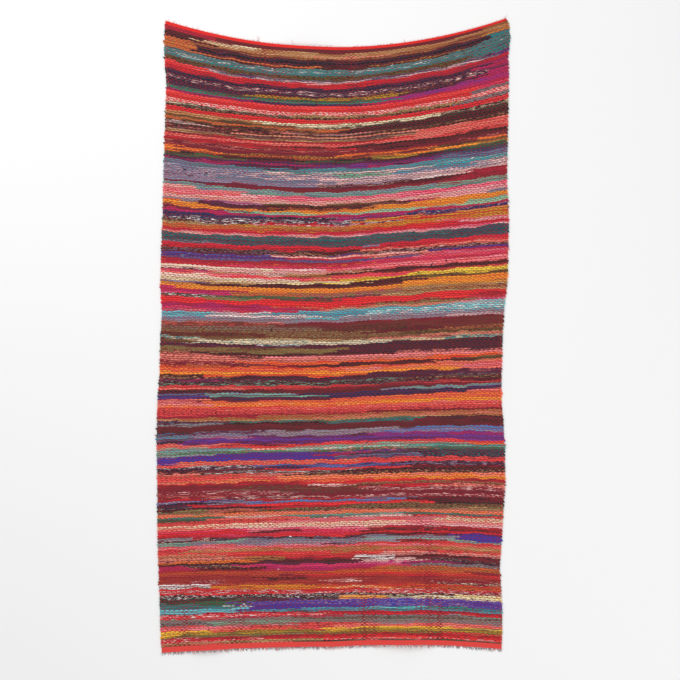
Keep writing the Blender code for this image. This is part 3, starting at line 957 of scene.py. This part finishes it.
# Short rag ends that stand out of the weave, lengths in mm, turns in degrees.
TuftRow = namedtuple("TuftRow", "across down length turn dye")
TUFTS = (
    TuftRow(0.780, 577, 11, 60, "black"),
    TuftRow(0.822, 569, 10, 75, "black"),
    TuftRow(0.724, 488, 9, 40, "bottle"),
    TuftRow(0.742, 592, 7, 100, "bottle"),
    TuftRow(0.868, 537, 7, 70, "ink"),
    TuftRow(0.900, 318, 9, 15, "white"),
    TuftRow(0.655, 586, 6, 120, "olive"),
    TuftRow(0.430, 408, 8, 10, "black"),
    TuftRow(0.455, 409, 8, 165, "black"),
    TuftRow(0.120, 338, 10, 8, "ink"),
    TuftRow(0.060, 334, 12, 172, "ink"),
    TuftRow(0.320, 725, 7, 30, "black"),
    TuftRow(0.610, 699, 5, 80, "white"),
    TuftRow(0.175, 612, 6, 20, "plum"),
    TuftRow(0.605, 1016, 7, 10, "ink"),
    TuftRow(0.485, 1203, 9, 6, "white"),
    TuftRow(0.135, 1254, 7, 30, "blush"),
    TuftRow(0.385, 1251, 8, 5, "white"),
    TuftRow(0.500, 1374, 8, 4, "salmon"),
    TuftRow(0.350, 1335, 6, 8, "blush"),
    TuftRow(0.245, 1423, 7, 5, "white"),
    TuftRow(0.140, 1483, 4, 20, "bottle"),
    TuftRow(0.025, 1158, 4, 40, "white"),
    TuftRow(-0.003, 205, 6, 150, "black"),
    TuftRow(-0.004, 86, 6, 130, "ink"),
    TuftRow(-0.004, 985, 7, 160, "wine"),
    TuftRow(1.003, 436, 6, 20, "black"),
    TuftRow(1.004, 1025, 7, 35, "green"),
)


def make_tufts(material):
    """Short rag ends that arch out of the weave, each at its own turn."""
    strand = straight_strand(TUFT_SIDES, TUFT_STEPS, len(TUFTS))
    piece, copy, rod = arrayed("rag_tufts", strand, len(TUFTS))
    across = np.array([row.across for row in TUFTS])[copy]
    down = np.array([row.down for row in TUFTS])[copy] * MM
    length = np.array([row.length for row in TUFTS])[copy] * MM
    turn = np.radians([row.turn for row in TUFTS])[copy]
    run = rod[:, 2]
    round_size = TUFT_RADIUS * np.sqrt(np.clip(1.02 - run, 0, 1))
    ahead, aside = length * (run - TUFT_BURIED), round_size * rod[:, 0]
    x_move = ahead * np.cos(turn) + aside * np.sin(turn)
    y_move = ahead * np.sin(turn) - aside * np.cos(turn)
    arch = TUFT_ARCH * np.sin(np.pi * TUFT_TURN_OVER * run)
    height = WEAVE_MIDDLE + arch + TUFT_FLATNESS * round_size * rod[:, 1]
    place(piece, lay(across + x_move / FLAT_WIDTH, down - y_move, height))
    colours = np.array([linear(row.dye) for row in TUFTS])[copy]
    fold = copy * END_PRINT_STEP + rod[:, 0]
    write_rag(piece.data, colours, colours * 0.5, END_PRINT_SHARE, length * run, fold, 6 * MM)
    piece.data.materials.append(material)
    return piece


# ---------------------------------------------------------------- materials

PRINT_LOWERS, PRINT_STARTS = -0.38, 0.69  # noise level where a print begins, by its share of the rag
PRINT_EDGE = 22.0  # how sharply a print meets its ground
FIBRE_AND_FOLD_STRETCH = (120, 1.9, 1.0)
YARN_STRETCH = (300, 3.1, 0.8)
ROUGH = 0.9


def nodes_of(material):
    material.use_nodes = True
    tree = material.node_tree
    return tree, tree.nodes["Principled BSDF"]


def add_node(tree, kind, inputs=None, **settings):
    node = tree.nodes.new(kind)
    for name, value in settings.items():
        setattr(node, name, value)
    for key, value in (inputs or {}).items():
        if isinstance(value, bpy.types.NodeSocket):
            tree.links.new(value, node.inputs[key])
        else:
            node.inputs[key].default_value = value
    return node


def maths(tree, operation, a, b=0.0, c=0.0):
    node = add_node(tree, "ShaderNodeMath", {0: a, 1: b, 2: c}, operation=operation)
    return node.outputs[0]


def rag_print_group():
    """Rag cloth: both dyes in dashes along the strand, with fibre streaks and a height for bumps; the streaks
    also paint shade into the hollows of the rag's folds and highlight onto their ridges.
    """
    group = bpy.data.node_groups.new("rag_print", "ShaderNodeTree")
    sockets = (
        ("Ground", "INPUT", "NodeSocketColor"),
        ("Print", "INPUT", "NodeSocketColor"),
        ("Share", "INPUT", "NodeSocketFloat"),
        ("Along", "INPUT", "NodeSocketVector"),
        ("Dash", "INPUT", "NodeSocketVector"),
        ("Colour", "OUTPUT", "NodeSocketColor"),
        ("Height", "OUTPUT", "NodeSocketFloat"),
    )
    for name, way, kind in sockets:
        group.interface.new_socket(name=name, in_out=way, socket_type=kind)
    given = group.nodes.new("NodeGroupInput").outputs
    out = group.nodes.new("NodeGroupOutput").inputs
    dashes = add_node(
        group,
        "ShaderNodeTexNoise",
        {"Vector": given["Dash"], "Scale": 1.0, "Detail": 2.0, "Roughness": 0.6},
    ).outputs["Fac"]
    threshold = maths(group, "MULTIPLY_ADD", given["Share"], PRINT_LOWERS, PRINT_STARTS)
    mask = maths(group, "SUBTRACT", dashes, threshold)
    mask = add_node(
        group,
        "ShaderNodeMath",
        {0: mask, 1: PRINT_EDGE, 2: 0.5},
        operation="MULTIPLY_ADD",
        use_clamp=True,
    ).outputs[0]
    printed = add_node(
        group,
        "ShaderNodeMix",
        {"Factor": mask, "A": given["Ground"], "B": given["Print"]},
        data_type="RGBA",
    )
    streak_place = add_node(
        group, "ShaderNodeVectorMath", {0: given["Along"], 1: FIBRE_AND_FOLD_STRETCH}, operation="MULTIPLY"
    ).outputs[0]
    streak = add_node(
        group,
        "ShaderNodeTexNoise",
        {"Vector": streak_place, "Scale": 1.0, "Detail": 3.0, "Roughness": 0.65},
    ).outputs["Fac"]
    # The streak noise is also the bump's height. Besides fibre streaks in the dye, it darkens the low folds
    # as painted shade and lightens their ridges as a painted highlight.
    light = add_node(
        group,
        "ShaderNodeMapRange",
        {"Value": streak, "From Min": 0.3, "From Max": 0.7, "To Min": 0.7, "To Max": 1.25},
    ).outputs[0]
    shaded = add_node(
        group, "ShaderNodeVectorMath", {0: printed.outputs["Result"], "Scale": light}, operation="SCALE"
    ).outputs[0]
    group.links.new(shaded, out["Colour"])
    group.links.new(streak, out["Height"])
    return group


def rag_material(group):
    material = bpy.data.materials.new("rag_cloth")
    tree, shader = nodes_of(material)
    ground = add_node(tree, "ShaderNodeAttribute", attribute_name="ground")
    print_dye = add_node(tree, "ShaderNodeAttribute", attribute_name="print")
    along = add_node(tree, "ShaderNodeAttribute", attribute_name="along")
    dash = add_node(tree, "ShaderNodeAttribute", attribute_name="dash")
    cloth = add_node(tree, "ShaderNodeGroup", node_tree=group)
    tree.links.new(ground.outputs["Color"], cloth.inputs["Ground"])
    tree.links.new(print_dye.outputs["Color"], cloth.inputs["Print"])
    tree.links.new(print_dye.outputs["Alpha"], cloth.inputs["Share"])
    tree.links.new(along.outputs["Vector"], cloth.inputs["Along"])
    tree.links.new(dash.outputs["Vector"], cloth.inputs["Dash"])
    tree.links.new(cloth.outputs["Colour"], shader.inputs["Base Color"])
    bump = add_node(
        tree, "ShaderNodeBump", {"Strength": 0.5, "Distance": 0.4 * MM, "Height": cloth.outputs["Height"]}
    )
    tree.links.new(bump.outputs["Normal"], shader.inputs["Normal"])
    shader.inputs["Roughness"].default_value = ROUGH
    shader.inputs["Sheen Weight"].default_value = 0.15
    return material


def yarn_material(name, dye, low=0.75):
    material = bpy.data.materials.new(name)
    tree, shader = nodes_of(material)
    along = add_node(tree, "ShaderNodeAttribute", attribute_name="along")
    place_in = add_node(
        tree, "ShaderNodeVectorMath", {0: along.outputs["Vector"], 1: YARN_STRETCH}, operation="MULTIPLY"
    ).outputs[0]
    noise = add_node(tree, "ShaderNodeTexNoise", {"Vector": place_in, "Scale": 1.0, "Detail": 2.0})
    fibres = noise.outputs["Fac"]
    colour = linear(dye)
    ramp = add_node(
        tree,
        "ShaderNodeMix",
        {"Factor": fibres, "A": (*(colour * low), 1), "B": (*np.minimum(colour * 1.2, 1), 1)},
        data_type="RGBA",
    )
    tree.links.new(ramp.outputs["Result"], shader.inputs["Base Color"])
    bump = add_node(tree, "ShaderNodeBump", {"Strength": 0.4, "Distance": 0.2 * MM, "Height": fibres})
    tree.links.new(bump.outputs["Normal"], shader.inputs["Normal"])
    shader.inputs["Roughness"].default_value = ROUGH
    return material


# ---------------------------------------------------------------- stage

CAMERA_X, CAMERA_Y = 17.5 * MM, -7.2 * MM
SEEN_WIDTH = 1.741
CAMERA_LENS = 85
SENSOR = 36
FLOOR_SIZE = 6
FLOOR_DROP = 0.5 * MM
FLOOR_SHADE = 0.93
WORLD_STRENGTH = 0.55
LightRow = namedtuple("LightRow", "name place size power")
LIGHTS = (
    LightRow("key_light", (-1.6, 2.4, 2.6), 1.6, 60),
    LightRow("fill_light", (1.8, -1.6, 3.2), 2.5, 45),
)


def make_stage():
    camera = bpy.data.objects.new("camera", bpy.data.cameras.new("camera"))
    camera.data.lens = CAMERA_LENS
    camera.data.sensor_width = SENSOR
    camera.location = (CAMERA_X, CAMERA_Y, SEEN_WIDTH * CAMERA_LENS / SENSOR)
    bpy.context.scene.collection.objects.link(camera)
    bpy.context.scene.camera = camera

    grid = bmesh.new()
    bmesh.ops.create_grid(grid, x_segments=1, y_segments=1, size=FLOOR_SIZE)
    mesh = bpy.data.meshes.new("floor")
    grid.to_mesh(mesh)
    grid.free()
    floor = bpy.data.objects.new("floor", mesh)
    floor.location.z = -FLOOR_DROP
    bpy.context.scene.collection.objects.link(floor)
    material = bpy.data.materials.new("floor_paper")
    _, shader = nodes_of(material)
    shader.inputs["Base Color"].default_value = (FLOOR_SHADE, FLOOR_SHADE, FLOOR_SHADE, 1)
    shader.inputs["Roughness"].default_value = ROUGH
    mesh.materials.append(material)

    for row in LIGHTS:
        lamp = bpy.data.lights.new(row.name, "AREA")
        lamp.size = row.size
        lamp.energy = row.power
        light = bpy.data.objects.new(row.name, lamp)
        light.location = row.place
        aim = -light.location.normalized()
        light.rotation_euler = aim.to_track_quat("-Z", "Y").to_euler()
        bpy.context.scene.collection.objects.link(light)

    world = bpy.data.worlds.new("studio")
    world.use_nodes = True
    sky = world.node_tree.nodes["Background"]
    sky.inputs["Color"].default_value = (1, 1, 1, 1)
    sky.inputs["Strength"].default_value = WORLD_STRENGTH
    bpy.context.scene.world = world
    bpy.context.scene.view_settings.view_transform = "Standard"


# ---------------------------------------------------------------- the rug

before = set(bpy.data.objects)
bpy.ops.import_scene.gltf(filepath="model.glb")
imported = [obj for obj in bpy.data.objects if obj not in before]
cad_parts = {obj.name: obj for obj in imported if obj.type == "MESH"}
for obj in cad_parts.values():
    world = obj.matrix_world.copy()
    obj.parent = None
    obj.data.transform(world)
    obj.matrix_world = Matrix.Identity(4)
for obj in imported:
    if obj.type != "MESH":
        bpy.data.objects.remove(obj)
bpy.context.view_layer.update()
make_stage()

rag_cloth = rag_material(rag_print_group())
warp_cotton = yarn_material("warp_cotton", "crimson")
selvedge_cotton = yarn_material("selvedge_cotton", "coral")
red_yarn = yarn_material("red_yarn", "scarlet")
coral_yarn = yarn_material("coral_yarn", "coral")
# The ground layer's wine cotton goes down to 0.4 of its dye: painted shade for the dark gaps between the
# rags.
cotton_and_gap_shade = yarn_material("cotton_and_gap_shade", "wine", 0.4)

wefts = [make_wefts(number, rag_cloth) for number in range(WEFT_PIECES)]
inner_warps = np.arange(1, WARPS) / WARPS
warps = [
    make_warps(f"cotton_warps_{number + 1}", places, WARP_RADIUS, WARP_WAVE, warp_cotton)
    for number, places in enumerate(np.array_split(inner_warps, WARP_PIECES))
]
edge_places = np.array(SELVEDGE_WARPS) / FLAT_WIDTH
edge_places = np.concatenate([edge_places, 1 - edge_places])
edge_warps = make_warps("selvedge_warps", edge_places, SELVEDGE_RADIUS, SELVEDGE_WAVE, selvedge_cotton)
turns = make_turns(rag_cloth)
ground = make_ground(cotton_and_gap_shade)
tufts = make_tufts(rag_cloth)
heading_top = make_heading("yarn_heading_top", 0, HEADING_TOP_DEEP, red_yarn)
heading_foot = make_heading("yarn_heading_foot", HEADING_FOOT_START, HEADING_FOOT_DEEP, coral_yarn)

short_frays = fringe_threads(FRAY_BUNDLES, 2, END_TUCK, 1.5 * MM, 4.5 * MM, 72)
long_frays = [(row.across, END_TUCK, row.length * MM, row.lean, row.curl) for row in FRAYS]
fray_dyes = ("scarlet", "crimson", "salmon", "wine")
frays = make_threads("frayed_ends", short_frays + long_frays, -1, FRAY_RADIUS, fray_dyes, rag_cloth)
foot_start = HEADING_FOOT_START + HEADING_FOOT_DEEP - 1 * MM
foot_threads = fringe_threads(FRINGE_BUNDLES, 4, foot_start, 5 * MM, 12 * MM, 73)
fringe_dyes = ("grey", "slate", "teal", "coral", "salmon", "lavender", "coral")
foot_fringe = make_threads("cut_fringe", foot_threads, 1, FRINGE_RADIUS, fringe_dyes, rag_cloth)

body_pieces = [*wefts, *warps, edge_warps, turns, tufts]
for piece in (*body_pieces, ground):
    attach(piece, "root")
for piece in (heading_top, heading_foot):
    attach(piece, "root")
for piece in (frays, foot_fringe):
    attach(piece, "root")
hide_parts("rag_body")
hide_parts("heading_top")
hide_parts("heading_foot")
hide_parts("fringe_top")
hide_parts("fringe_foot")
